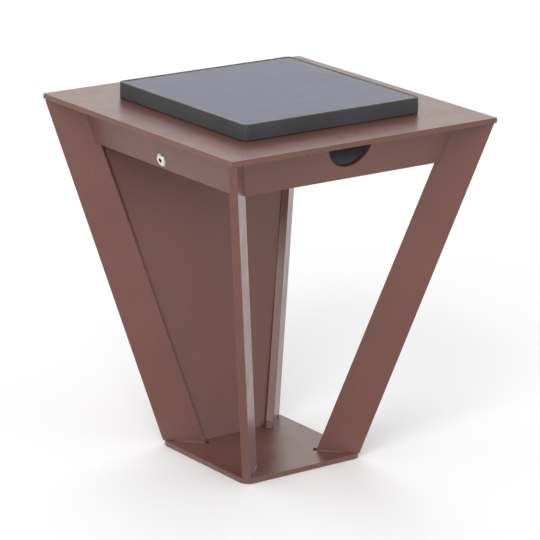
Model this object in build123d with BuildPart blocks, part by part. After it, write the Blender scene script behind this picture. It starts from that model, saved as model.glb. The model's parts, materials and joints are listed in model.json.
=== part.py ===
from build123d import *
import os
from math import cos, radians, sin, sqrt, tan

# Solar wall light. Four diagonal fins carry a square top plate over a smaller bottom plate.
# Three aprons and a full-height wall panel close the sides between the fins, and a solar
# lamp module sits in the top plate and lifts out of it. Millimetres, Z up, the origin under
# the middle of the bottom plate, the wall panel on +Y and the lock screw on -X.

# Welded frame
frame_height = 271.0
top_size = 240.0
top_thickness = 4.0
bottom_margin = 1.5
bottom_thickness = 4.0
bottom_corner_radius = 8.0
fin_thickness = 6.0
fin_foot_width = 33.1
fin_head_width = 31.5
fin_tip_radius = 75.8
fin_top_inset = 0.5
tab_length = 24.0
slot_overrun = 2.5
slot_clearance = 0.1

# Aprons and wall panel
face_inset = 18.0
face_lean = radians(13.5)
face_thickness = 4.0
apron_height = 32.2
front_right_turn = 0
front_left_turn = -90
back_right_turn = 90
wall_turn = 180
notch_radius = 20.0
notch_drop = 2.0
wall_hole_radius = 3.3
wall_hole_spacing = 80.0
wall_hole_drop = 42.0

# Lock screw, seated on the front left apron
lock_drop = 25.0
lock_shank_radius = 2.5
lock_head_radius = 4.3
lock_head_height = 0.9
lock_head_rounding = 0.6
lock_socket_width = 3.0
lock_socket_depth = 2.4
washer_radius = 5.0
washer_thickness = 0.5
washer_clearance = 0.15
nut_width = 8.0
nut_thickness = 4.0
thread_clearance = 0.05
lock_hole_clearance = 0.25
lock_tip_gap = 2.0

# Module outside
bezel_size = 160.0
bezel_height = 12.4
bezel_corner_radius = 4.5
bezel_wall = 2.5
bezel_rim = 1.6
bezel_edge_radius = 0.5
ledge_width = 12.0
ledge_thickness = 2.5
case_inset = 10.0
case_wall = 2.5
case_floor = 3.0
case_corner_radius = 4.0
case_edge_radius = 1.0
case_drop = 34.0
case_hole_gap = 0.5
flange_thickness = 2.5
flange_gap = 0.3

# Seat gasket under the case flange
seat_gasket_width = 2.0
seat_gasket_thickness = 1.3
seat_groove_depth = 1.0
seat_gasket_inset = 1.5

# Solar laminate
glass_thickness = 2.9
glass_gap = 0.3
glass_recess = 0.3
cell_thickness = 0.3
ribbon_thickness = 0.1
ribbon_width = 1.2
ribbons_per_cell = 3
backing_thickness = 0.8
panel_gasket_thickness = 0.7
panel_gasket_width = 6.0
cell_rows = 2
cell_columns = 6
cell_gap = 1.0
cell_margin = 5.0

# Case corner posts and the screws that hold case and bezel together
corner_post_inset = 4.5
corner_post_radius = 4.75
case_screw_radius = 1.5
case_screw_head_radius = 2.75
case_screw_head_height = 3.0
case_screw_length = 14.0
case_screw_bite = 2.7
pilot_spare = 0.5
screw_hole_clearance = 0.2
counterbore_clearance = 0.25
gusset_size = 20.0

# Lamp side
lens_border = 19.3
lens_gap = 0.7
lens_lip = 4.5
lens_flange_thickness = 2.0
lens_sink = 0.6
lens_gasket_thickness = 1.0
lens_corner_radius = 6.0
reflector_height = 8.0
reflector_wall = 6.0
reflector_inset = 1.0
led_board_margin = 0.2
led_board_thickness = 1.6
led_size = 3.5
led_height = 0.8
led_pitch = 22.0
leds_per_side = 4

# Inner tray and its posts
tray_wall_gap = 3.5
tray_thickness = 2.0
tray_corner_cut = 14.0
tray_post_radius = 3.5
tray_post_inset = 9.5
tray_post_spacing_y = 60.0
led_lead_hole_radius = 3.0

# Small screws of tray and control board
inner_screw_radius = 1.5
inner_screw_head_radius = 2.75
inner_screw_head_height = 1.8
inner_screw_length = 6.5

# Battery
cell_length = 65.0
cell_radius = 9.15
cell_cap_radius = 3.0
cell_cap_height = 1.5
cell_side_gap = 1.6
cell_lift = 0.2
holder_wall = 1.5
holder_side_height = 9.0
holder_end_height = 17.0
holder_lead_gap = 14.1
contact_size = 12.0
contact_thickness = 0.8
contact_gap = 0.15

# Control board
board_length = 80.0
board_width = 49.0
board_thickness = 1.6
board_wall_gap = 5.5
spacer_height = 3.0
spacer_radius = 3.0
spacer_inset = 5.0
connector_width = 8.0
connector_depth = 6.0
connector_height = 6.0
connector_spacing = 26.0
connector_edge_gap = 7.0
chip_size = 10.0
chip_height = 1.6
coil_radius = 4.5
coil_height = 5.0
capacitor_radius = 4.0
capacitor_height = 9.0
chip_shift = (-16.0, -4.5)
coil_shift = (13.0, -2.5)
capacitor_shift = (25.0, -8.5)

# Mode button behind the finger notch, and the key switch that it presses
button_radius = 4.2
button_gap = 0.3
button_sink = 0.4
button_flange_radius = 5.6
button_flange_thickness = 1.2
button_seal_thickness = 0.5
button_stem_radius = 2.0
button_travel = 0.8
button_height_over_board = 3.0
key_switch_width = 7.0
key_switch_depth = 5.0
key_switch_height = 6.0
key_switch_gap = 0.1
key_switch_setback = 0.5

# Leads
lead_radius = 0.9
lead_pair_spacing = 2.6
lead_bend_radius = 5.0
hump_bend_radius = 3.0
lead_rise_gap = 7.0
hump_height = 5.0
hump_run = 5.0

# Heights and places that the sizes above give
top_under = frame_height - top_thickness
seat = frame_height + seat_gasket_thickness - seat_groove_depth
bezel_top = frame_height + bezel_height
glass_top = bezel_top - glass_recess
glass_under = glass_top - glass_thickness
cell_top = glass_under - ribbon_thickness
cell_under = cell_top - cell_thickness
backing_under = cell_under - backing_thickness
ledge_top = backing_under - panel_gasket_thickness
ledge_under = ledge_top - ledge_thickness
flange_top = seat + flange_thickness
case_under = frame_height - case_drop
floor_top = case_under + case_floor
lens_flange_under = floor_top + lens_gasket_thickness
lens_flange_top = lens_flange_under + lens_flange_thickness
led_board_under = lens_flange_top + reflector_height
tray_under = led_board_under + led_board_thickness
tray_top = tray_under + tray_thickness
board_under = tray_top + spacer_height
board_top = board_under + board_thickness
lead_height = board_top + connector_height / 2
face_top_y = top_size / 2 - face_inset - top_thickness * tan(face_lean)
case_size = bezel_size - 2 * case_inset
case_half = case_size / 2
case_inner_half = case_half - case_wall
ledge_opening = bezel_size - 2 * ledge_width
lens_opening = 2 * (case_inner_half - lens_border)
led_board_size = lens_opening - 2 * led_board_margin
tray_size = 2 * (case_inner_half - tray_wall_gap)
corner_spacing = 2 * (case_inner_half - corner_post_inset)
tray_post_spacing_x = 2 * (case_inner_half - tray_post_inset)
board_y = board_wall_gap + board_width / 2 - case_inner_half
board_back_edge = board_y + board_width / 2
connector_y = board_back_edge - connector_edge_gap - connector_depth / 2
lead_rise_y = board_back_edge + lead_rise_gap
flange_half = bezel_size / 2 - bezel_wall - flange_gap
lens_half = lens_opening / 2 + lens_lip
glass_half = bezel_size / 2 - bezel_rim - glass_gap
corner_points = GridLocations(corner_spacing, corner_spacing, 2, 2).locations
tray_points = GridLocations(tray_post_spacing_x, tray_post_spacing_y, 2, 2).locations
bottom_size = 2 * (fin_tip_radius / sqrt(2) + bottom_margin)
fin_reach = top_size / sqrt(2) - fin_top_inset
fin_slope = (fin_reach - fin_tip_radius) / (frame_height - bottom_thickness)

os.makedirs("parts", exist_ok=True)


def finish(piece, name):
    """Labels a finished piece and writes its file."""
    piece.part.label = name
    export_step(piece.part, f"parts/{name}.step")


def level(height):
    """Horizontal plane at a height."""
    return Plane.XY.offset(height)


def turned(vector, turn):
    """A vector turned about the vertical axis by degrees."""
    return Vector(*vector).rotate(Axis.Z, turn)


def block(size_x, size_y, low, high, radius=0.0, centre=(0, 0), mode=Mode.ADD):
    """Upright block between two heights, its corners rounded if a radius is given."""
    with BuildSketch(level(low)) as outline:
        with Locations(centre):
            if radius > 0:
                RectangleRounded(size_x, size_y, radius)
            else:
                Rectangle(size_x, size_y)
    extrude(outline.sketch, amount=high - low, mode=mode)


def rod(radius, low, high, points, mode=Mode.ADD):
    """Upright round rods between two heights at a list of places."""
    with BuildSketch(level(low)) as outline:
        with Locations(points):
            Circle(radius)
    extrude(outline.sketch, amount=high - low, mode=mode)


def ring(outer, inner, low, high, radius=0.0, mode=Mode.ADD):
    """Square ring between two heights."""
    with BuildSketch(level(low)) as outline:
        if radius > 0:
            RectangleRounded(outer, outer, radius)
        else:
            Rectangle(outer, outer)
        Rectangle(inner, inner, mode=Mode.SUBTRACT)
    extrude(outline.sketch, amount=high - low, mode=mode)


def fin_outer(height):
    """Distance of a fin's outer edge from the axis at a height."""
    return fin_tip_radius + fin_slope * (height - bottom_thickness)


def side_plane(turn, drop=0.0):
    """Outer face of one side: the origin in its middle, drop down the slope from its top."""
    offset_y = -(face_top_y - drop * sin(face_lean))
    height = top_under - drop * cos(face_lean)
    return Plane(
        origin=turned((0, offset_y, height), turn),
        x_dir=turned((1, 0, 0), turn),
        z_dir=turned((0, -cos(face_lean), -sin(face_lean)), turn),
    )


def side_sheet(turn, height):
    """Leaning sheet of one side, trimmed by the two fins and the two plates."""
    reach = top_size / 2
    apex = fin_thickness / sqrt(2)
    with BuildSketch(side_plane(turn)) as outline:
        with Locations((0, face_thickness)):
            Rectangle(2 * reach, height + face_thickness, align=(Align.CENTER, Align.MAX))
    bay_plane = Plane(origin=(0, 0, bottom_thickness), x_dir=turned((1, 0, 0), turn))
    with BuildSketch(bay_plane) as bay:
        Polygon((0, -apex), (reach, -apex - reach), (-reach, -apex - reach), align=None)
    extrude(outline.sketch, amount=-face_thickness)
    extrude(bay.sketch, amount=top_under - bottom_thickness, mode=Mode.INTERSECT)


def side_holes(turn, drop, radius, points):
    """Round holes square through one side's sheet, drop down the slope from its top."""
    with BuildSketch(side_plane(turn, drop)) as holes:
        with Locations(points):
            Circle(radius)
    extrude(holes.sketch, amount=2 * face_thickness, both=True, mode=Mode.SUBTRACT)


def lead_pair(x, route, bend_radius):
    """Two round leads side by side along a route of (y, z) points."""
    for shift in (-lead_pair_spacing / 2, lead_pair_spacing / 2):
        with BuildLine(Plane.YZ.offset(x + shift)) as path:
            FilletPolyline(*route, radius=bend_radius)
        with BuildSketch(Plane(origin=path.line @ 0, z_dir=path.line % 0)) as section:
            Circle(lead_radius)
        sweep(section.sketch, path=path.line)


# Top plate with the square hole that takes the module
with BuildPart() as top_plate:
    hole_size = case_size + 2 * case_hole_gap
    block(top_size, top_size, top_under, frame_height)
    block(
        hole_size, hole_size, top_under, frame_height, case_corner_radius, mode=Mode.SUBTRACT
    )
finish(top_plate, "top_plate")

# Bottom plate, slotted where the tabs of the fins come through
tab_start = fin_tip_radius - fin_foot_width
slot_start = tab_start - slot_overrun
slot_end = tab_start + tab_length + slot_clearance
with BuildPart() as bottom_plate:
    block(bottom_size, bottom_size, 0, bottom_thickness, bottom_corner_radius)
    with BuildSketch(level(0)) as slots:
        with PolarLocations((slot_start + slot_end) / 2, 4, start_angle=45):
            Rectangle(slot_end - slot_start, fin_thickness + 2 * slot_clearance)
    extrude(amount=bottom_thickness, mode=Mode.SUBTRACT)
finish(bottom_plate, "bottom_plate")

# Fins, one in each diagonal plane, their upper tips trimmed to the edges of the top plate
for corner, turn in {"front": 225, "right": 315, "back": 45, "left": 135}.items():
    fin_plane = Plane(
        origin=(0, 0, 0), x_dir=turned((1, 0, 0), turn), z_dir=turned((0, -1, 0), turn)
    )
    with BuildPart() as fin:
        with BuildSketch(fin_plane) as outline:
            Polygon(
                (tab_start, bottom_thickness),
                (fin_tip_radius, bottom_thickness),
                (fin_outer(top_under), top_under),
                (fin_outer(top_under) - fin_head_width, top_under),
                align=None,
            )
            with Locations((tab_start, 0)):
                Rectangle(tab_length, bottom_thickness, align=(Align.MIN, Align.MIN))
        extrude(amount=fin_thickness / 2, both=True)
        block(top_size, top_size, 0, top_under, mode=Mode.INTERSECT)
    finish(fin, f"fin_{corner}")

# Apron with the finger notch
with BuildPart() as apron_front_right:
    side_sheet(front_right_turn, apron_height)
    side_holes(front_right_turn, notch_drop, notch_radius, [(0, 0)])
finish(apron_front_right, "apron_front_right")

# Apron with the hole of the lock screw
with BuildPart() as apron_front_left:
    side_sheet(front_left_turn, apron_height)
    side_holes(front_left_turn, lock_drop, lock_shank_radius + lock_hole_clearance, [(0, 0)])
finish(apron_front_left, "apron_front_left")

# Plain apron
with BuildPart() as apron_back_right:
    side_sheet(back_right_turn, apron_height)
finish(apron_back_right, "apron_back_right")

# Wall panel, down to the bottom plate, with two screw holes under the top plate
wall_panel_height = (top_under - bottom_thickness) / cos(face_lean) + face_thickness
wall_holes = [(-wall_hole_spacing / 2, 0), (wall_hole_spacing / 2, 0)]
with BuildPart() as wall_panel:
    side_sheet(wall_turn, wall_panel_height)
    side_holes(wall_turn, wall_hole_drop, wall_hole_radius, wall_holes)
finish(wall_panel, "wall_panel")

# Lock nut, fixed behind the apron
lock_plane = side_plane(front_left_turn, lock_drop)
with BuildPart() as lock_nut:
    with BuildSketch(lock_plane.offset(-face_thickness - nut_thickness)):
        RegularPolygon(nut_width / 2, 6, major_radius=False)
        Circle(lock_shank_radius + thread_clearance, mode=Mode.SUBTRACT)
    extrude(amount=nut_thickness)
finish(lock_nut, "lock_nut")

# Lock washer
with BuildPart() as lock_washer:
    with BuildSketch(lock_plane):
        Circle(washer_radius)
        Circle(lock_shank_radius + washer_clearance, mode=Mode.SUBTRACT)
    extrude(amount=washer_thickness)
finish(lock_washer, "lock_washer")

# Lock screw, its tip just short of the side of the module case
lock_face_y = face_top_y - lock_drop * sin(face_lean)
lock_reach = (lock_face_y - case_half - lock_tip_gap) / cos(face_lean)
lock_reach -= lock_shank_radius * tan(face_lean)
with BuildPart() as lock_screw:
    with BuildSketch(lock_plane.offset(washer_thickness)):
        Circle(lock_head_radius)
    extrude(amount=lock_head_height)
    outward = Axis(lock_plane.origin, lock_plane.z_dir)
    fillet(lock_screw.edges().sort_by(outward)[-1], lock_head_rounding)
    with BuildSketch(lock_plane.offset(-lock_reach)):
        Circle(lock_shank_radius)
    extrude(amount=lock_reach + washer_thickness)
    with BuildSketch(lock_plane.offset(washer_thickness + lock_head_height)):
        RegularPolygon(lock_socket_width / 2, 6, major_radius=False)
    extrude(amount=-lock_socket_depth, mode=Mode.SUBTRACT)
finish(lock_screw, "lock_screw")

# Bezel: a skirt, a ledge that carries the laminate, and bosses for the case screws
with BuildPart() as bezel:
    skirt_size = bezel_size - 2 * bezel_wall
    recess_size = bezel_size - 2 * bezel_rim
    block(bezel_size, bezel_size, seat, bezel_top, bezel_corner_radius)
    fillet(bezel.edges().group_by(Axis.Z)[-1], bezel_edge_radius)
    fillet(bezel.edges().group_by(Axis.Z)[0], bezel_edge_radius)
    block(skirt_size, skirt_size, seat, ledge_under, mode=Mode.SUBTRACT)
    block(ledge_opening, ledge_opening, ledge_under, ledge_top, mode=Mode.SUBTRACT)
    block(
        recess_size,
        recess_size,
        ledge_top,
        bezel_top,
        bezel_corner_radius - bezel_rim,
        mode=Mode.SUBTRACT,
    )
    for place in corner_points:
        centre = (place.position.X, place.position.Y)
        block(gusset_size, gusset_size, ledge_under, ledge_top, centre=centre)
    rod(corner_post_radius, flange_top, ledge_under, corner_points)
    pilot_top = flange_top + case_screw_bite + pilot_spare
    pilot_radius = case_screw_radius + thread_clearance
    rod(pilot_radius, flange_top, pilot_top, corner_points, mode=Mode.SUBTRACT)
finish(bezel, "bezel")

# Solar laminate: cover glass, cells, ribbons and backing board
glass_size = 2 * glass_half
with BuildPart() as cover_glass:
    block(glass_size, glass_size, glass_under, glass_top, bezel_corner_radius - bezel_rim)
finish(cover_glass, "cover_glass")

cell_field = glass_size - 2 * cell_margin
cell_pitch_x = (cell_field + cell_gap) / cell_columns
cell_pitch_y = (cell_field + cell_gap) / cell_rows
with BuildPart() as solar_cells:
    with BuildSketch(level(cell_under)):
        with GridLocations(cell_pitch_x, cell_pitch_y, cell_columns, cell_rows):
            Rectangle(cell_pitch_x - cell_gap, cell_pitch_y - cell_gap)
    extrude(amount=cell_thickness)
finish(solar_cells, "solar_cells")

ribbon_count = cell_rows * ribbons_per_cell
with BuildPart() as cell_ribbons:
    with BuildSketch(level(cell_top)):
        with GridLocations(1, cell_field / ribbon_count, 1, ribbon_count):
            Rectangle(cell_field, ribbon_width)
    extrude(amount=ribbon_thickness)
finish(cell_ribbons, "cell_ribbons")

with BuildPart() as backing_board:
    block(
        glass_size, glass_size, backing_under, cell_under, bezel_corner_radius - bezel_rim
    )
finish(backing_board, "backing_board")

with BuildPart() as panel_gasket:
    ring(
        glass_size,
        glass_size - 2 * panel_gasket_width,
        ledge_top,
        backing_under,
        bezel_corner_radius - bezel_rim,
    )
finish(panel_gasket, "panel_gasket")

# Module case: a tub with a top flange, corner posts, tray posts and a lens window
seat_gasket_size = 2 * (flange_half - seat_gasket_inset)
seat_gasket_opening = seat_gasket_size - 2 * seat_gasket_width
button_height = board_top + button_height_over_board
button_plane = Plane(origin=(0, -case_half, button_height), x_dir=(1, 0, 0), z_dir=(0, -1, 0))
case_screw_seat = flange_top + case_screw_bite - case_screw_length
with BuildPart() as module_case:
    block(case_size, case_size, case_under, flange_top, case_corner_radius)
    fillet(module_case.edges().group_by(Axis.Z)[0], case_edge_radius)
    block(2 * flange_half, 2 * flange_half, seat, flange_top)
    block(
        2 * case_inner_half,
        2 * case_inner_half,
        floor_top,
        flange_top,
        case_corner_radius - case_wall,
        mode=Mode.SUBTRACT,
    )
    rod(corner_post_radius, floor_top, flange_top, corner_points)
    rod(tray_post_radius, floor_top, tray_under, tray_points)
    block(
        lens_opening,
        lens_opening,
        case_under,
        floor_top,
        lens_corner_radius,
        mode=Mode.SUBTRACT,
    )
    clearance_radius = case_screw_radius + screw_hole_clearance
    counterbore_radius = case_screw_head_radius + counterbore_clearance
    rod(clearance_radius, case_under, flange_top, corner_points, mode=Mode.SUBTRACT)
    rod(counterbore_radius, case_under, case_screw_seat, corner_points, mode=Mode.SUBTRACT)
    tray_pilot_low = tray_top - inner_screw_length - pilot_spare
    tray_pilot_radius = inner_screw_radius + thread_clearance
    rod(tray_pilot_radius, tray_pilot_low, tray_under, tray_points, mode=Mode.SUBTRACT)
    ring(
        seat_gasket_size,
        seat_gasket_opening,
        seat,
        seat + seat_groove_depth,
        mode=Mode.SUBTRACT,
    )
    with BuildSketch(button_plane):
        Circle(button_radius + button_gap)
    extrude(amount=-case_wall, mode=Mode.SUBTRACT)
finish(module_case, "module_case")

with BuildPart() as seat_gasket:
    ring(seat_gasket_size, seat_gasket_opening, frame_height, seat + seat_groove_depth)
finish(seat_gasket, "seat_gasket")

# Cap screws that come up through the corner posts into the bezel
with BuildPart() as case_screws:
    head_low = case_screw_seat - case_screw_head_height
    rod(case_screw_head_radius, head_low, case_screw_seat, corner_points)
    rod(
        case_screw_radius,
        case_screw_seat,
        case_screw_seat + case_screw_length,
        corner_points,
    )
finish(case_screws, "case_screws")

# Lens, its gasket and the reflector frame that holds it down
with BuildPart() as lens_gasket:
    ring(2 * lens_half, lens_opening, floor_top, lens_flange_under, lens_corner_radius)
finish(lens_gasket, "lens_gasket")

with BuildPart() as diffuser_lens:
    lens_size = lens_opening - 2 * lens_gap
    block(lens_size, lens_size, case_under + lens_sink, lens_flange_under, lens_corner_radius)
    block(
        2 * lens_half, 2 * lens_half, lens_flange_under, lens_flange_top, lens_corner_radius
    )
finish(diffuser_lens, "diffuser_lens")

reflector_size = 2 * lens_half - 2 * reflector_inset
with BuildPart() as reflector_frame:
    ring(
        reflector_size,
        reflector_size - 2 * reflector_wall,
        lens_flange_top,
        led_board_under,
        lens_corner_radius,
    )
finish(reflector_frame, "reflector_frame")

# LED board with its LEDs
with BuildPart() as led_board:
    block(led_board_size, led_board_size, led_board_under, tray_under)
finish(led_board, "led_board")

with BuildPart() as leds:
    with BuildSketch(level(led_board_under)):
        with GridLocations(led_pitch, led_pitch, leds_per_side, leds_per_side):
            Rectangle(led_size, led_size)
    extrude(amount=-led_height)
finish(leds, "leds")

# Inner tray over the LED board
board_point_x = board_length / 2 - spacer_inset
board_point_y = board_width / 2 - spacer_inset
board_points = [
    (side_x * board_point_x, board_y + side_y * board_point_y)
    for side_x in (-1, 1)
    for side_y in (-1, 1)
]
led_lead_place = (connector_spacing, lead_rise_y)
with BuildPart() as inner_tray:
    block(tray_size, tray_size, tray_under, tray_top)
    chamfer(inner_tray.edges().filter_by(Axis.Z), tray_corner_cut)
    tray_hole_radius = inner_screw_radius + screw_hole_clearance
    rod(tray_hole_radius, tray_under, tray_top, tray_points, mode=Mode.SUBTRACT)
    rod(tray_pilot_radius, tray_under, tray_top, board_points, mode=Mode.SUBTRACT)
    rod(led_lead_hole_radius, tray_under, tray_top, [led_lead_place], mode=Mode.SUBTRACT)
finish(inner_tray, "inner_tray")

# Small screws: four hold the tray on its posts, four the control board on the tray
with BuildPart() as inner_screws:
    for seat_height, places in ((tray_top, tray_points), (board_top, board_points)):
        head_top = seat_height + inner_screw_head_height
        rod(inner_screw_head_radius, seat_height, head_top, places)
        rod(inner_screw_radius, seat_height - inner_screw_length, seat_height, places)
finish(inner_screws, "inner_screws")

# Battery holder, cells and contact plates
cell_pitch = 2 * cell_radius + cell_side_gap
cell_axis_height = tray_top + holder_wall + cell_lift + cell_radius
holder_inner_x = cell_length + 2 * (contact_thickness + contact_gap)
holder_inner_y = 2 * cell_pitch
holder_x = holder_inner_x + 2 * holder_wall
holder_width = holder_inner_y + 2 * holder_wall
holder_y = lead_rise_y + holder_lead_gap + holder_width / 2
holder_centre = (0, holder_y)
holder_side_top = tray_top + holder_side_height
holder_end_top = tray_top + holder_end_height
with BuildPart() as battery_holder:
    block(holder_x, holder_width, tray_top, holder_end_top, centre=holder_centre)
    block(
        holder_inner_x,
        holder_inner_y,
        tray_top + holder_wall,
        holder_end_top,
        centre=holder_centre,
        mode=Mode.SUBTRACT,
    )
    block(
        holder_inner_x,
        holder_width,
        holder_side_top,
        holder_end_top,
        centre=holder_centre,
        mode=Mode.SUBTRACT,
    )
finish(battery_holder, "battery_holder")

cell_axes = [
    (holder_y - cell_pitch / 2, cell_axis_height),
    (holder_y + cell_pitch / 2, cell_axis_height),
]
cell_start = -cell_length / 2
cell_shoulder = cell_length / 2 - cell_cap_height
with BuildPart() as battery_cells:
    with BuildSketch(Plane.YZ.offset(cell_start)):
        with Locations(cell_axes):
            Circle(cell_radius)
    extrude(amount=cell_shoulder - cell_start)
    with BuildSketch(Plane.YZ.offset(cell_shoulder)):
        with Locations(cell_axes):
            Circle(cell_cap_radius)
    extrude(amount=cell_cap_height)
finish(battery_cells, "battery_cells")

with BuildPart() as battery_contacts:
    for contact_x in (-cell_length / 2 - contact_thickness, cell_length / 2):
        with BuildSketch(Plane.YZ.offset(contact_x)):
            with Locations(cell_axes):
                Rectangle(contact_size, contact_size)
        extrude(amount=contact_thickness)
finish(battery_contacts, "battery_contacts")

# Control board on its spacers, with the parts on it
board_edge = board_y - board_width / 2
with BuildPart() as board_spacers:
    rod(spacer_radius, tray_top, board_under, board_points)
    rod(tray_hole_radius, tray_top, board_under, board_points, mode=Mode.SUBTRACT)
finish(board_spacers, "board_spacers")

with BuildPart() as control_board:
    block(board_length, board_width, board_under, board_top, centre=(0, board_y))
    rod(tray_hole_radius, board_under, board_top, board_points, mode=Mode.SUBTRACT)
finish(control_board, "control_board")

chip_place = (chip_shift[0], board_y + chip_shift[1])
coil_place = (coil_shift[0], board_y + coil_shift[1])
capacitor_place = (capacitor_shift[0], board_y + capacitor_shift[1])
with BuildPart() as board_parts:
    block(chip_size, chip_size, board_top, board_top + chip_height, centre=chip_place)
    rod(coil_radius, board_top, board_top + coil_height, [coil_place])
    rod(capacitor_radius, board_top, board_top + capacitor_height, [capacitor_place])
finish(board_parts, "board_parts")

with BuildPart() as lead_connectors:
    for connector_x in (-connector_spacing, 0, connector_spacing):
        block(
            connector_width,
            connector_depth,
            board_top,
            board_top + connector_height,
            centre=(connector_x, connector_y),
        )
finish(lead_connectors, "lead_connectors")

key_switch_face = board_edge + key_switch_setback
with BuildPart() as key_switch:
    block(
        key_switch_width,
        key_switch_depth,
        board_top,
        board_top + key_switch_height,
        centre=(0, key_switch_face + key_switch_depth / 2),
    )
finish(key_switch, "key_switch")

# Mode button in the case wall, its stem one travel short of the key switch
button_flange_back = case_wall + button_seal_thickness + button_flange_thickness
button_stem_end = case_half + key_switch_face - button_travel - key_switch_gap
with BuildPart() as mode_button:
    with BuildSketch(button_plane.offset(-button_sink)):
        Circle(button_radius)
    extrude(amount=button_sink - case_wall - button_seal_thickness)
    with BuildSketch(button_plane.offset(-case_wall - button_seal_thickness)):
        Circle(button_flange_radius)
    extrude(amount=-button_flange_thickness)
    with BuildSketch(button_plane.offset(-button_flange_back)):
        Circle(button_stem_radius)
    extrude(amount=button_flange_back - button_stem_end)
finish(mode_button, "mode_button")

with BuildPart() as button_seal:
    with BuildSketch(button_plane.offset(-case_wall)):
        Circle(button_flange_radius)
        Circle(button_radius + button_gap, mode=Mode.SUBTRACT)
    extrude(amount=-button_seal_thickness)
finish(button_seal, "button_seal")

# Leads, each a pair: battery, LED board and laminate to the control board
connector_face = connector_y + connector_depth / 2
holder_face = holder_y - holder_width / 2
hump_y = (holder_face + connector_face) / 2
with BuildPart() as battery_leads:
    lead_pair(
        -connector_spacing,
        [
            (holder_face, lead_height),
            (holder_face - hump_run, lead_height),
            (hump_y, lead_height + hump_height),
            (connector_face + hump_run, lead_height),
            (connector_face, lead_height),
        ],
        hump_bend_radius,
    )
finish(battery_leads, "battery_leads")

with BuildPart() as led_leads:
    lead_pair(
        connector_spacing,
        [(lead_rise_y, tray_under), (lead_rise_y, lead_height), (connector_face, lead_height)],
        lead_bend_radius,
    )
finish(led_leads, "led_leads")

with BuildPart() as panel_leads:
    lead_pair(
        0,
        [(lead_rise_y, backing_under), (lead_rise_y, lead_height), (connector_face, lead_height)],
        lead_bend_radius,
    )
finish(panel_leads, "panel_leads")
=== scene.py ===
import json
import math

import bmesh
import bpy
from mathutils import Matrix, Vector, noise


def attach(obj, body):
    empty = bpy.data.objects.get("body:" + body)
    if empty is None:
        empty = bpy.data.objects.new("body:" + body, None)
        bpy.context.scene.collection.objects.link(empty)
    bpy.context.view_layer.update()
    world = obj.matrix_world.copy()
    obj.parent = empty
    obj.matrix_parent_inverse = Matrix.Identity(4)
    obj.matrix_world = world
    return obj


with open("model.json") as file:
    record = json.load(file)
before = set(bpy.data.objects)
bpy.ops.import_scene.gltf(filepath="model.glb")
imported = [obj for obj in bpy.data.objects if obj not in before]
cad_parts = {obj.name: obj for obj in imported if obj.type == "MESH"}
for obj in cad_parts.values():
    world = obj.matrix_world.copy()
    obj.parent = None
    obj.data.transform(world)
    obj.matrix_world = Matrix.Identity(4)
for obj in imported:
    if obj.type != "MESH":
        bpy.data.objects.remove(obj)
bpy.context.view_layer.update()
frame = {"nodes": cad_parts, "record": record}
nodes = frame["nodes"]

# Sizes that repeat the CAD source, in metres, and the fins' directions in degrees
PLATE = 0.004
FIN_THICKNESS = 0.006
FIN_FOOT_WIDTH = 0.0331
FIN_TIP_RADIUS = 0.0758
FIN_TURNS = {"front": 225, "right": 315, "back": 45, "left": 135}

# Radius round the lock screw's axis within which its socket lies, in metres
SOCKET_RADIUS = 0.00178

# Edge rounding of the CAD nodes, in metres, and the angles of flat and sharp edges, in degrees
SHEET_ROUNDING = 0.00035
SHELL_ROUNDING = 0.0003
FASTENER_ROUNDING = 0.00015
WELD_DISTANCE = 0.000002
FLAT_ANGLE = 0.3
SHARP_ANGLE = 32.0

# Painted welds at the fins' feet, in metres, and the share of a foot's width that they run along
WELD_RIPPLE = 0.0016
WELD_ROOT = 0.0002
SIDE_WELD_LEG = 0.0005
LUMP_LEG = 0.0036
SIDE_WELD_SHARE = 0.62

# Half the floor's side in metres, and the strengths of the sky light
FLOOR_SIZE = 9.0
HORIZON_LIGHT = 1.30
ZENITH_LIGHT = 0.66

# Camera: sensor and lens in millimetres, place in metres, angles in degrees
SENSOR_WIDTH = 36.0
LENS = 206.831
CAMERA_PLACE = (-1.33951, -1.78464, 0.81238)
CAMERA_TURN = -36.9929
CAMERA_RISE = 16.6751
CAMERA_ROLL = 1.1730


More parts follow.
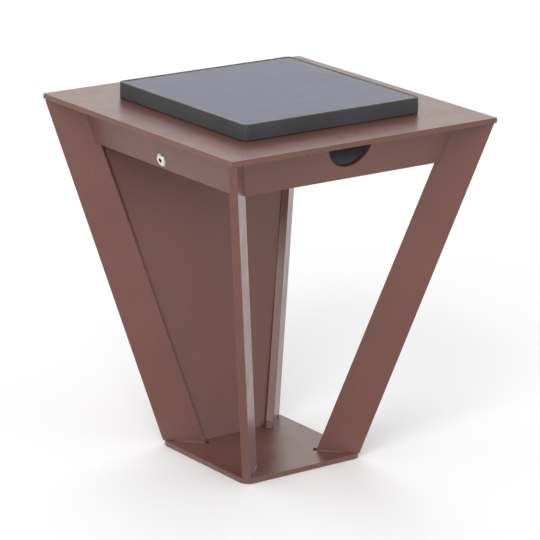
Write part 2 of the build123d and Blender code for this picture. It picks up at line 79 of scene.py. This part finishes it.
class Shader:
    """One material's node tree, with short calls that add and join its nodes."""

    def __init__(self, name):
        self.material = bpy.data.materials.new(name)
        self.material.use_nodes = True
        self.tree = self.material.node_tree
        self.tree.nodes.clear()
        self.surface = self.add("ShaderNodeBsdfPrincipled")
        output = self.add("ShaderNodeOutputMaterial")
        self.tree.links.new(self.surface.outputs["BSDF"], output.inputs["Surface"])
        self.place = self.add("ShaderNodeTexCoord").outputs["Object"]

    def add(self, kind, inputs=None, **settings):
        node = self.tree.nodes.new(kind)
        for name, value in settings.items():
            setattr(node, name, value)
        for name, value in (inputs or {}).items():
            self.feed(node.inputs[name], value)
        return node

    def feed(self, socket, value):
        if isinstance(value, bpy.types.NodeSocket):
            self.tree.links.new(value, socket)
        else:
            socket.default_value = value

    def set(self, **values):
        for name, value in values.items():
            self.feed(self.surface.inputs[name.replace("_", " ")], value)

    def noise(self, scale, detail=2.0, roughness=0.5, stretch=(1, 1, 1)):
        place = self.place
        if stretch != (1, 1, 1):
            place = self.add("ShaderNodeMapping", {"Vector": place, "Scale": stretch}).outputs[0]
        inputs = {"Vector": place, "Scale": scale, "Detail": detail, "Roughness": roughness}
        return self.add("ShaderNodeTexNoise", inputs).outputs["Fac"]

    def cells(self, scale, output="Distance"):
        inputs = {"Vector": self.place, "Scale": scale}
        return self.add("ShaderNodeTexVoronoi", inputs).outputs[output]

    def ramp(self, value, stops):
        node = self.add("ShaderNodeValToRGB", {"Fac": value})
        band = node.color_ramp
        while len(band.elements) < len(stops):
            band.elements.new(0.5)
        for element, (position, colour) in zip(band.elements, stops):
            element.position = position
            element.color = (*colour, 1)
        return node.outputs["Color"]

    def spread(self, value, low, high, out_low, out_high):
        inputs = {"Value": value, "From Min": low, "From Max": high, "To Min": out_low, "To Max": out_high}
        return self.add("ShaderNodeMapRange", inputs).outputs["Result"]

    def mix(self, factor, first, second):
        node = self.add("ShaderNodeMix", data_type="RGBA")
        for index, value in ((0, factor), (6, first), (7, second)):
            self.feed(node.inputs[index], (*value, 1) if isinstance(value, tuple) else value)
        return node.outputs[2]

    def maths(self, operation, first, second=0.0):
        node = self.add("ShaderNodeMath", operation=operation)
        self.feed(node.inputs[0], first)
        self.feed(node.inputs[1], second)
        return node.outputs[0]

    def vector_maths(self, operation, first, second=(0, 0, 0)):
        return self.add("ShaderNodeVectorMath", {0: first, 1: second}, operation=operation)

    def bump(self, height, distance, strength=1.0, normal=None):
        inputs = {"Height": height, "Distance": distance, "Strength": strength}
        if normal is not None:
            inputs["Normal"] = normal
        return self.add("ShaderNodeBump", inputs).outputs["Normal"]

    def edges(self, radius, low=0.02, high=0.25):
        """A mask that is 1 along convex and concave edges, from rounded normals."""
        round_normal = self.add("ShaderNodeBevel", {"Radius": radius}, samples=4).outputs["Normal"]
        plain = self.add("ShaderNodeNewGeometry").outputs["Normal"]
        dot = self.vector_maths("DOT_PRODUCT", round_normal, plain)
        return self.spread(self.maths("SUBTRACT", 1.0, dot.outputs["Value"]), low, high, 0.0, 1.0)


def powder_coat():
    """Rust-brown powder coat: clouds, fine grain, pale specks, paler edges that are partly wear and partly
    painted highlight, and a grey tint near the ground that is partly dust and partly painted sheen.
    """
    s = Shader("coat")
    clouds = s.noise(14, 3, 0.6)
    colour = s.ramp(clouds, [(0.3, (0.121, 0.042, 0.031)), (0.7, (0.143, 0.050, 0.037))])
    grain = s.spread(s.noise(760, 2, 0.7), 0.32, 0.68, 0.0, 0.6)
    colour = s.mix(grain, colour, (0.099, 0.035, 0.027))
    speck = s.spread(s.cells(1100), 0.0, 0.24, 0.32, 0.0)
    colour = s.mix(speck, colour, (0.235, 0.105, 0.082))
    # Paler colour along the edges: partly wear, partly a painted highlight
    edge_wear_and_highlight = s.maths("MULTIPLY", s.edges(0.0006), s.spread(s.noise(160, 3), 0.42, 0.68, 0.04, 0.4))
    colour = s.mix(edge_wear_and_highlight, colour, (0.25, 0.125, 0.09))
    # Greyer colour near the ground: partly dust, partly a painted sheen
    height = s.add("ShaderNodeSeparateXYZ", {"Vector": s.place}).outputs["Z"]
    patches = s.spread(s.noise(90, 4), 0.3, 0.7, 0.4, 1.0)
    dust_and_sheen = s.maths("MULTIPLY", s.spread(height, 0.0, 0.03, 0.16, 0.0), patches)
    colour = s.mix(dust_and_sheen, colour, (0.27, 0.21, 0.20))
    rough = s.spread(s.noise(60, 3, 0.6), 0.3, 0.7, 0.27, 0.35)
    normal = s.bump(s.noise(1100, 2, 0.6), 0.00006, 0.35)
    normal = s.bump(s.noise(45, 2, 0.5), 0.0006, 0.05, normal)
    s.set(Base_Color=colour, Roughness=rough, Normal=normal, IOR=1.5)
    return s.material


def black_plastic(name="shell", colour=(0.036, 0.036, 0.039), grains=1600, rough=0.4):
    """Moulded black plastic: fine spark texture, slight bloom and paler edges that are partly wear and
    partly painted highlight.
    """
    s = Shader(name)
    low = tuple(c * 0.8 for c in colour)
    high = tuple(c * 1.25 for c in colour)
    tint = s.ramp(s.noise(25, 3, 0.6), [(0.3, low), (0.7, high)])
    # Paler colour along the edges: partly wear, partly a painted highlight
    edge_wear_and_highlight = s.maths("MULTIPLY", s.edges(0.0005), s.spread(s.noise(220, 3), 0.4, 0.7, 0.05, 0.5))
    tint = s.mix(edge_wear_and_highlight, tint, tuple(c * 3 + 0.02 for c in colour))
    normal = s.bump(s.noise(grains, 2, 0.6), 0.00006, 0.6)
    s.set(Base_Color=tint, Normal=normal)
    s.set(Roughness=s.spread(s.noise(80, 3), 0.3, 0.7, rough - 0.06, rough + 0.06))
    return s.material


def rubber():
    s = Shader("rubber")
    tint = s.ramp(s.noise(120, 3, 0.6), [(0.3, (0.018, 0.018, 0.018)), (0.7, (0.036, 0.035, 0.034))])
    s.set(Base_Color=tint, Roughness=s.spread(s.noise(300, 2), 0.3, 0.7, 0.62, 0.8))
    s.set(Normal=s.bump(s.noise(900, 2), 0.00005, 0.5))
    return s.material


def metal(name, colour, rough, stretch=(1, 1, 1), scale=500.0, bump=0.00002):
    """Satin metal with drawn or turned marks and faint stains."""
    s = Shader(name)
    marks = s.noise(scale, 3, 0.6, stretch)
    low = tuple(c * 0.78 for c in colour)
    tint = s.ramp(marks, [(0.25, low), (0.75, colour)])
    stain = s.spread(s.noise(90, 3, 0.6), 0.5, 0.75, 0.0, 0.35)
    s.set(Base_Color=s.mix(stain, tint, tuple(c * 0.6 for c in colour)))
    s.set(Metallic=1.0, Roughness=s.spread(marks, 0.3, 0.7, rough - 0.08, rough + 0.1))
    s.set(Normal=s.bump(marks, bump, 0.6))
    return s.material


def screw_steel(turn_joint):
    """Bright steel, with painted shade down the driver socket, which is found by its distance from the
    axis.
    """
    s = Shader("screw")
    marks = s.noise(900.0, 3, 0.6)
    tint = s.ramp(marks, [(0.25, (0.62, 0.61, 0.58)), (0.75, (0.80, 0.79, 0.76))])
    from_axis = s.vector_maths("SUBTRACT", s.place, turn_joint["pos_m"])
    across = s.vector_maths("CROSS_PRODUCT", from_axis.outputs["Vector"], turn_joint["axis"])
    radius = s.vector_maths("LENGTH", across.outputs["Vector"]).outputs["Value"]
    # Painted shade: the socket is coloured near black and not metallic
    painted_socket_shade = s.spread(radius, SOCKET_RADIUS - 0.0001, SOCKET_RADIUS, 1.0, 0.0)
    s.set(Base_Color=s.mix(painted_socket_shade, tint, (0.025, 0.020, 0.018)), Metallic=s.spread(painted_socket_shade, 0.0, 1.0, 1.0, 0.0))
    s.set(Roughness=s.spread(marks, 0.3, 0.7, 0.26, 0.42), Normal=s.bump(marks, 0.00003, 0.6))
    return s.material


def cover_glass():
    """Low-glare front sheet. Its underside is bonded to the cells, so it doesn't reflect there."""
    s = Shader("glass")
    s.set(Base_Color=s.ramp(s.noise(30, 2), [(0.3, (0.93, 0.96, 1.0)), (0.7, (0.99, 1.0, 1.0))]))
    s.set(Roughness=s.spread(s.noise(90, 3), 0.3, 0.7, 0.20, 0.25), IOR=1.25, Transmission_Weight=1.0)
    s.set(Normal=s.bump(s.noise(1500, 2), 0.00002, 0.12))
    facing = s.add("ShaderNodeNewGeometry").outputs["True Normal"]
    height = s.add("ShaderNodeSeparateXYZ", {"Vector": facing}).outputs["Z"]
    upright = s.add("ShaderNodeNewGeometry").outputs["Backfacing"]
    flip = s.spread(upright, 0.0, 1.0, 1.0, -1.0)
    outward = s.maths("MULTIPLY", height, flip)
    s.set(Alpha=s.maths("GREATER_THAN", outward, -0.5))
    return s.material


def silicon():
    """Dark blue cells with a fine crystal grain and pale finger lines across them."""
    s = Shader("silicon")
    crystal = s.cells(650, output="Color")
    grain = s.add("ShaderNodeSeparateColor", {"Color": crystal}).outputs["Red"]
    tint = s.ramp(grain, [(0.0, (0.009, 0.015, 0.074)), (1.0, (0.025, 0.037, 0.132))])
    tint = s.mix(s.spread(s.noise(18, 3), 0.3, 0.7, 0.0, 0.6), tint, (0.045, 0.040, 0.125))
    along = s.add("ShaderNodeSeparateXYZ", {"Vector": s.place}).outputs["Y"]
    comb = s.maths("FRACT", s.maths("MULTIPLY", along, 620.0))
    line = s.maths("LESS_THAN", s.maths("ABSOLUTE", s.maths("SUBTRACT", comb, 0.5)), 0.05)
    tint = s.mix(s.maths("MULTIPLY", line, 0.3), tint, (0.16, 0.17, 0.22))
    s.set(Base_Color=tint, Roughness=s.spread(grain, 0.0, 1.0, 0.4, 0.55), Specular_IOR_Level=0.0)
    return s.material


def plastic(name, low, high, rough=0.4, scale=60.0, grain=1200.0, depth=0.00004):
    """Moulded or painted surface: clouded colour, fine grain, paler edges that are partly wear and partly
    painted highlight.
    """
    s = Shader(name)
    tint = s.ramp(s.noise(scale, 3, 0.6), [(0.3, low), (0.7, high)])
    # Paler colour along the edges: partly wear, partly a painted highlight
    edge_wear_and_highlight = s.maths("MULTIPLY", s.edges(0.0004), 0.35)
    tint = s.mix(edge_wear_and_highlight, tint, tuple(min(1.0, c * 1.4 + 0.02) for c in high))
    s.set(Base_Color=tint, Roughness=s.spread(s.noise(150, 3), 0.3, 0.7, rough - 0.07, rough + 0.07))
    s.set(Normal=s.bump(s.noise(grain, 2, 0.6), depth, 0.5))
    return s.material


def opal():
    """Milky diffuser that lets some light through."""
    s = Shader("opal")
    s.set(Base_Color=s.ramp(s.noise(40, 2), [(0.3, (0.86, 0.86, 0.83)), (0.7, (0.93, 0.93, 0.91))]))
    s.set(Roughness=s.spread(s.noise(200, 3), 0.3, 0.7, 0.32, 0.42), Subsurface_Weight=0.3)
    s.set(Subsurface_Radius=(0.004, 0.004, 0.0035), Normal=s.bump(s.noise(1400, 2), 0.00003, 0.4))
    return s.material


def phosphor():
    s = Shader("phosphor")
    spots = s.cells(2600)
    s.set(Base_Color=s.ramp(spots, [(0.0, (0.80, 0.62, 0.12)), (0.6, (0.92, 0.80, 0.32))]))
    s.set(Roughness=s.spread(spots, 0.0, 0.6, 0.25, 0.4), Coat_Weight=0.6)
    return s.material


def circuit_board(name, low, high, track):
    """Solder mask over copper tracks: slightly raised lines in a square maze."""
    s = Shader(name)
    maze = s.add("ShaderNodeTexVoronoi", {"Vector": s.place, "Scale": 260.0, "Randomness": 0.8},
                 feature="F1", distance="CHEBYCHEV")
    wave = s.maths("FRACT", s.maths("MULTIPLY", maze.outputs["Distance"], 5.0))
    line = s.spread(wave, 0.35, 0.45, 0.0, 1.0)
    tint = s.ramp(s.noise(50, 3), [(0.3, low), (0.7, high)])
    tint = s.mix(s.maths("MULTIPLY", line, 0.6), tint, track)
    s.set(Base_Color=tint, Roughness=s.spread(line, 0.0, 1.0, 0.3, 0.42), Normal=s.bump(line, 0.00004, 0.6))
    return s.material


def insulation():
    """Red insulated lead."""
    s = Shader("lead")
    tint = s.ramp(s.noise(140, 3), [(0.3, (0.36, 0.020, 0.014)), (0.7, (0.55, 0.045, 0.030))])
    s.set(Base_Color=tint, Roughness=s.spread(s.noise(400, 2), 0.3, 0.7, 0.35, 0.5))
    s.set(Normal=s.bump(s.noise(700, 2), 0.00003, 0.4))
    return s.material


coat = powder_coat()
looks = {
    "corten_coat": coat,
    "black_shell": black_plastic(),
    "black_button": black_plastic("button", (0.068, 0.064, 0.069), 900, 0.6),
    "cover_glass": cover_glass(),
    "solar_silicon": silicon(),
    "ribbon_tin": plastic("ribbon", (0.030, 0.038, 0.115), (0.040, 0.050, 0.140), 0.5),
    "backing_black": plastic("backing", (0.012, 0.012, 0.013), (0.020, 0.020, 0.022), 0.5),
    "seal_rubber": rubber(),
    "stainless": metal("stainless", (0.80, 0.79, 0.77), 0.28, scale=700.0),
    "opal_lens": opal(),
    "reflector_white": plastic("reflector", (0.88, 0.88, 0.87), (0.95, 0.95, 0.94), 0.25),
    "led_face": phosphor(),
    "led_board": circuit_board("led_board", (0.80, 0.80, 0.78), (0.90, 0.90, 0.88), (0.70, 0.70, 0.68)),
    "tray_aluminium": metal("tray", (0.75, 0.76, 0.77), 0.38, (1, 14, 1), 180.0),
    "board_green": circuit_board("board", (0.010, 0.095, 0.040), (0.018, 0.15, 0.062), (0.04, 0.24, 0.10)),
    "part_black": plastic("part", (0.018, 0.018, 0.020), (0.045, 0.045, 0.048), 0.42),
    "cell_wrap": plastic("wrap", (0.02, 0.13, 0.30), (0.05, 0.24, 0.48), 0.28, 30.0, 500.0),
    "contact_nickel": metal("nickel", (0.70, 0.69, 0.66), 0.25),
    "connector_white": plastic("connector", (0.72, 0.70, 0.64), (0.86, 0.84, 0.78), 0.45),
    "lead_red": insulation(),
}
slot_of = {part["node"]: part["material_slot"] for part in frame["record"]["subparts"]}
joints = {joint["name"]: joint for joint in frame["record"]["behaviour"]["joints"]}
own_looks = {"lock_screw": screw_steel(joints["screw_turn"])}
for name, piece in nodes.items():
    piece.data.materials.clear()
    piece.data.materials.append(own_looks.get(name, looks[slot_of[name]]))


def soften(name, width):
    """Rounds a CAD node's sharp edges with modifiers only."""
    piece = nodes[name]
    weld = piece.modifiers.new("weld", "WELD")
    weld.merge_threshold = WELD_DISTANCE
    flatten = piece.modifiers.new("flatten", "DECIMATE")
    flatten.decimate_type = "DISSOLVE"
    flatten.angle_limit = math.radians(FLAT_ANGLE)
    bevel = piece.modifiers.new("edges", "BEVEL")
    bevel.width = width
    bevel.segments = 2
    bevel.limit_method = "ANGLE"
    bevel.angle_limit = math.radians(SHARP_ANGLE)
    bevel.use_clamp_overlap = True
    bevel.harden_normals = True


for name in nodes:
    if slot_of[name] == "corten_coat":
        soften(name, SHEET_ROUNDING)
for name in ("bezel", "module_case"):
    soften(name, SHELL_ROUNDING)
for name in ("lock_washer", "lock_screw"):
    soften(name, FASTENER_ROUNDING)


def add_piece(name, mesh, material, body):
    mesh.materials.append(material)
    piece = bpy.data.objects.new(name, mesh)
    bpy.context.scene.collection.objects.link(piece)
    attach(piece, body)


def bead(name, start, end, up, side, leg, unevenness=0.35, seed=0.0):
    """A painted weld bead in the corner between two sheets, of uneven width, with soft ripples."""
    start, end, up, side = Vector(start), Vector(end), Vector(up).normalized(), Vector(side).normalized()
    length = (end - start).length
    steps = max(10, int(length / WELD_RIPPLE * 4))
    around = 7
    mesh = bmesh.new()
    rings = []
    for i in range(steps + 1):
        t = i / steps
        taper = math.sin(math.pi * min(1.0, 5 * t + 0.12, 5 * (1 - t) + 0.12) / 2)
        wave = abs(math.sin(math.pi * t * length / WELD_RIPPLE))
        slow = noise.noise(Vector((t * length * 110, seed, 0)))
        size = leg * taper * (0.9 + 0.1 * wave + unevenness * slow)
        centre = start.lerp(end, t)
        ring = []
        for j in range(around + 1):
            a = math.pi / 2 * j / around
            pit = noise.noise(Vector((t * length * 500, j * 0.9, seed)))
            reach = size * (0.62 + 0.38 * abs(math.cos(2 * a)) + 0.4 * unevenness * pit)
            ring.append(mesh.verts.new(centre + (side * math.cos(a) + up * math.sin(a)) * reach))
        ring.append(mesh.verts.new(centre - side * WELD_ROOT - up * WELD_ROOT))
        rings.append(ring)
    for one, two in zip(rings, rings[1:]):
        for j in range(len(one)):
            k = (j + 1) % len(one)
            mesh.faces.new((one[j], two[j], two[k], one[k]))
    mesh.faces.new(list(reversed(rings[0])))
    mesh.faces.new(rings[-1])
    bmesh.ops.recalc_face_normals(mesh, faces=mesh.faces)
    data = bpy.data.meshes.new(name)
    mesh.to_mesh(data)
    mesh.free()
    data.shade_smooth()
    add_piece(name, data, coat, "frame")


# Thin welds along the sides of the fins' feet, and one thick lump across the back fin's inner edge
for number, (place, turn) in enumerate(FIN_TURNS.items()):
    out = Vector((math.cos(math.radians(turn)), math.sin(math.radians(turn)), 0))
    across = Vector((-out.y, out.x, 0))
    floor_height = Vector((0, 0, PLATE))
    inner = out * (FIN_TIP_RADIUS - FIN_FOOT_WIDTH) + floor_height
    half = across * FIN_THICKNESS / 2
    if place == "back":
        bead("weld_lump", inner - half, inner + half, (0, 0, 1), -out, LUMP_LEG, 0.8)
    for label, hand in (("left", 1), ("right", -1)):
        edge = inner + half * hand
        end = edge + out * FIN_FOOT_WIDTH * SIDE_WELD_SHARE
        seed = number * 3.7 + hand
        bead(f"weld_{place}_{label}", edge, end, (0, 0, 1), across * hand, SIDE_WELD_LEG, seed=seed)

# Floor
floor_mesh = bmesh.new()
bmesh.ops.create_grid(floor_mesh, x_segments=4, y_segments=4, size=FLOOR_SIZE)
floor_data = bpy.data.meshes.new("floor")
floor_mesh.to_mesh(floor_data)
floor_mesh.free()
floor = bpy.data.objects.new("floor", floor_data)
bpy.context.scene.collection.objects.link(floor)
floor_look = Shader("floor_look")
floor_tones = [(0.3, (0.86, 0.86, 0.86)), (0.7, (0.88, 0.88, 0.88))]
floor_look.set(Base_Color=floor_look.ramp(floor_look.noise(3, 2), floor_tones), Roughness=0.85)
floor_data.materials.append(floor_look.material)

# Sky light that fades from the horizon to the zenith, and two soft lamps
world = bpy.data.worlds.new("studio")
bpy.context.scene.world = world
world.use_nodes = True
sky = world.node_tree
background = sky.nodes["Background"]
direction = sky.nodes.new("ShaderNodeTexCoord")
split = sky.nodes.new("ShaderNodeSeparateXYZ")
sky.links.new(direction.outputs["Generated"], split.inputs["Vector"])
fade = sky.nodes.new("ShaderNodeMapRange")
sky.links.new(split.outputs["Z"], fade.inputs["Value"])
fade_inputs = {"From Min": 0.25, "From Max": 0.95, "To Min": HORIZON_LIGHT, "To Max": ZENITH_LIGHT}
for name, value in fade_inputs.items():
    fade.inputs[name].default_value = value
sky.links.new(fade.outputs["Result"], background.inputs["Strength"])
background.inputs["Color"].default_value = (1.0, 1.0, 1.0, 1)


def area_light(name, place, target, size, power):
    data = bpy.data.lights.new(name, "AREA")
    data.shape = "DISK"
    data.size = size
    data.energy = power
    light = bpy.data.objects.new(name, data)
    bpy.context.scene.collection.objects.link(light)
    light.location = place
    light.rotation_euler = (Vector(target) - Vector(place)).to_track_quat("-Z", "Y").to_euler()


area_light("key", (-1.75, -1.35, 1.75), (0, 0, 0.12), 1.6, 34.0)
area_light("rim", (1.15, 1.6, 2.1), (0, 0, 0.2), 1.8, 12.0)

# Camera
camera_data = bpy.data.cameras.new("camera")
camera_data.sensor_width = SENSOR_WIDTH
camera_data.lens = LENS
camera_data.clip_end = 50.0
camera = bpy.data.objects.new("camera", camera_data)
bpy.context.scene.collection.objects.link(camera)
turn = math.radians(CAMERA_TURN)
rise = math.radians(CAMERA_RISE)
roll = math.radians(CAMERA_ROLL)
back = Vector((math.sin(turn) * math.cos(rise), -math.cos(turn) * math.cos(rise), math.sin(rise)))
level_right = back.cross(Vector((0, 0, -1))).normalized()
level_up = level_right.cross(-back)
right = math.cos(roll) * level_right + math.sin(roll) * level_up
up = -math.sin(roll) * level_right + math.cos(roll) * level_up
camera.matrix_world = Matrix.Translation(CAMERA_PLACE) @ Matrix((right, up, back)).transposed().to_4x4()
bpy.context.scene.camera = camera
bpy.context.scene.view_settings.view_transform = "Standard"
bpy.context.scene.view_settings.look = "None"
